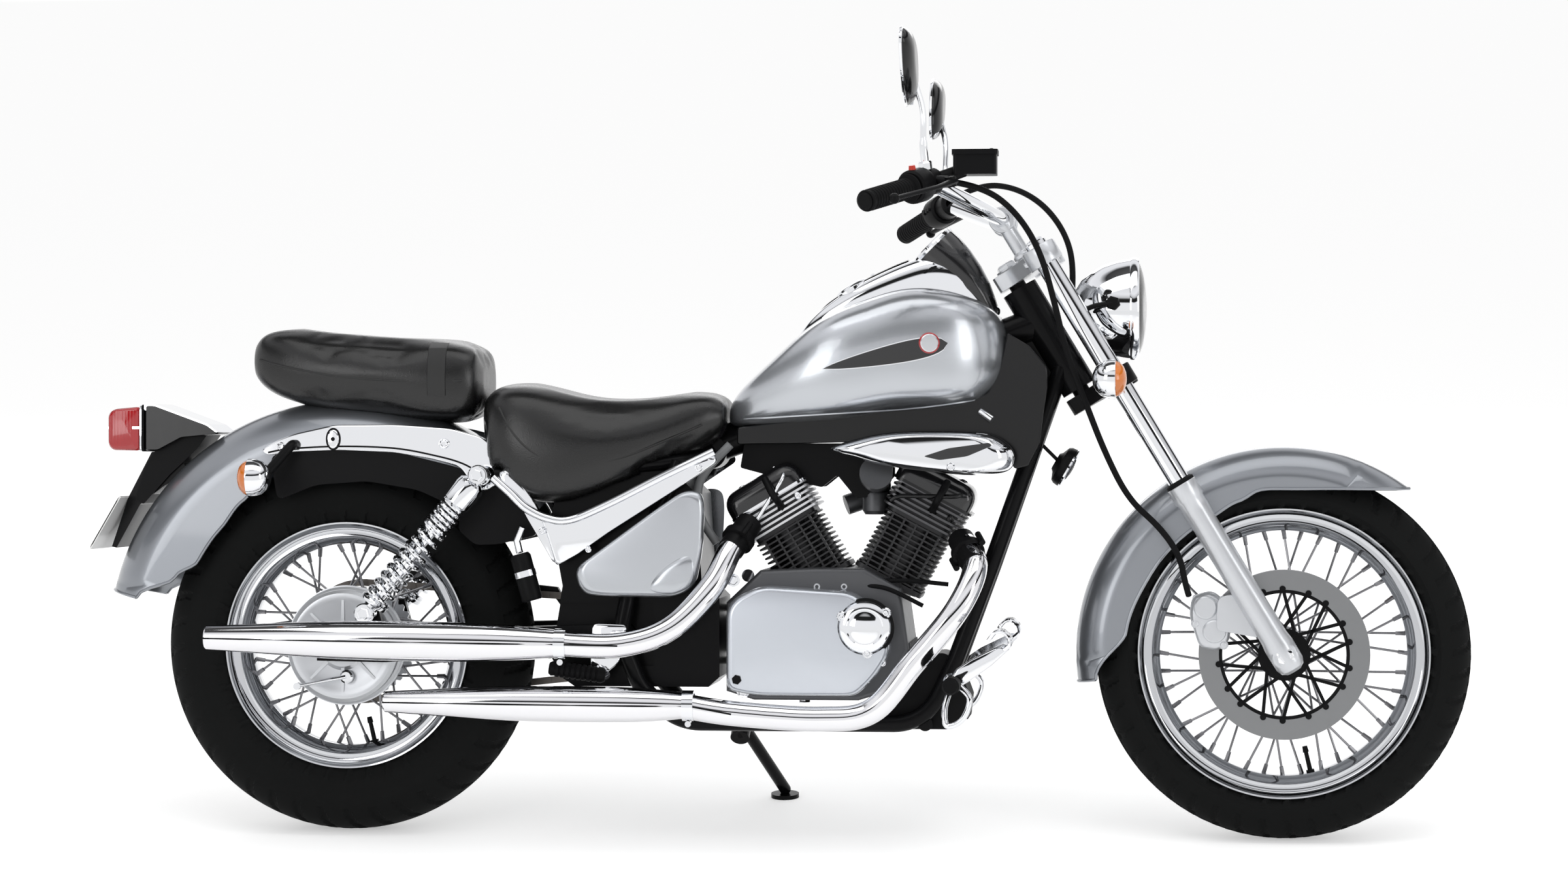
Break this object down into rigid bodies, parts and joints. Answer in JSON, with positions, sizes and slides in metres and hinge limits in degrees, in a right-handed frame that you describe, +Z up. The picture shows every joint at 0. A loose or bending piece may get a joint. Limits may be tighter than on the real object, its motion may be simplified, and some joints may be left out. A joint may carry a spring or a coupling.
{
  "type": "cruiser motorcycle",
  "caption": "Mid-size V-twin cruiser motorcycle on wire wheels, leaning on its side stand.",
  "frame": {"origin": "on the road, below the middle of the bounding box", "axes": "+X to the front of the machine, +Y to the rider's left, +Z up; the machine leans 8 degrees to the left"},
  "size_m": [2.2638, 0.946, 1.3266],
  "materials": {
    "black_frame_paint": "gloss",
    "silver_body_paint": "gloss",
    "fender_paint": "gloss",
    "chrome": "polished",
    "polished_alloy": "satin",
    "cylinder_alloy": "satin",
    "wheel_chrome": "polished",
    "tyre_rubber": "matt",
    "disc_steel": "satin",
    "chain_steel": "satin",
    "black_metal": "satin",
    "black_dial": "gloss",
    "rubber": "matt",
    "seat_leather": "satin",
    "red_lens": "gloss",
    "lamp_glass": "clear",
    "plate_white": "satin"
  },
  "bodies": {
    "chassis": {"frame": "black_frame_paint", "swingarm": "black_frame_paint", "rear_shocks": "chrome", "rear_fender": "fender_paint", "fender_struts": "chrome", "tail_lamp": "chrome", "tail_lamp_lens": "red_lens", "plate_bracket": "black_frame_paint", "number_plate": "plate_white", "rear_indicators": "chrome", "rider_seat": "seat_leather", "passenger_seat": "seat_leather", "fuel_tank": "silver_body_paint", "tank_console": "chrome", "speedometer": "black_dial", "side_covers": "silver_body_paint", "seat_trims": "chrome", "battery_box": "black_frame_paint", "crankcase": "polished_alloy", "engine_covers": "polished_alloy", "rear_cylinder": "cylinder_alloy", "front_cylinder": "cylinder_alloy", "intake": "polished_alloy", "air_cleaner_cover": "chrome", "exhaust_upper": "chrome", "exhaust_lower": "chrome", "horn": "black_metal", "foot_controls": "black_metal", "passenger_pegs": "chrome", "rear_brake_panel": "polished_alloy", "chain": "chain_steel", "head_covers": "black_metal", "canister": "black_metal", "regulator": "black_metal"},
    "steering": {"fork_upper": "polished_alloy", "fork_lowers": "polished_alloy", "front_fender": "fender_paint", "headlight_shell": "chrome", "headlight_lens": "lamp_glass", "handlebar": "chrome", "grips": "rubber", "hand_controls": "black_metal", "mirrors": "chrome", "front_indicators": "chrome", "brake_caliper": "black_metal", "brake_hose": "rubber", "control_cables": "rubber"},
    "front_wheel": {"front_tyre": "tyre_rubber", "front_rim": "wheel_chrome", "brake_disc": "disc_steel"},
    "rear_wheel": {"rear_tyre": "tyre_rubber", "rear_rim": "wheel_chrome"},
    "side_stand": {"stand_leg": "black_frame_paint"}
  },
  "joints": [
    {"name": "steering_head", "type": "hinge", "parent": "chassis", "child": "steering", "pos_m": [0.44847, -0.03886, 0.81171], "axis": [-0.5165, 0.1192, 0.8479], "range_deg": [-35, 35]},
    {"name": "front_axle", "type": "hinge", "parent": "steering", "child": "front_wheel", "pos_m": [0.83043, -0.11082, 0.29972], "axis": [0, 0.9903, -0.1392], "continuous": true},
    {"name": "rear_axle", "type": "hinge", "parent": "chassis", "child": "rear_wheel", "pos_m": [-0.70857, -0.10998, 0.30566], "axis": [0, 0.9903, -0.1392], "continuous": true},
    {"name": "stand_pivot", "type": "hinge", "parent": "chassis", "child": "side_stand", "pos_m": [-0.06857, -0.0064, 0.15175], "axis": [0.0388, 0.807, 0.5893], "range_deg": [0, 96]}
  ]
}
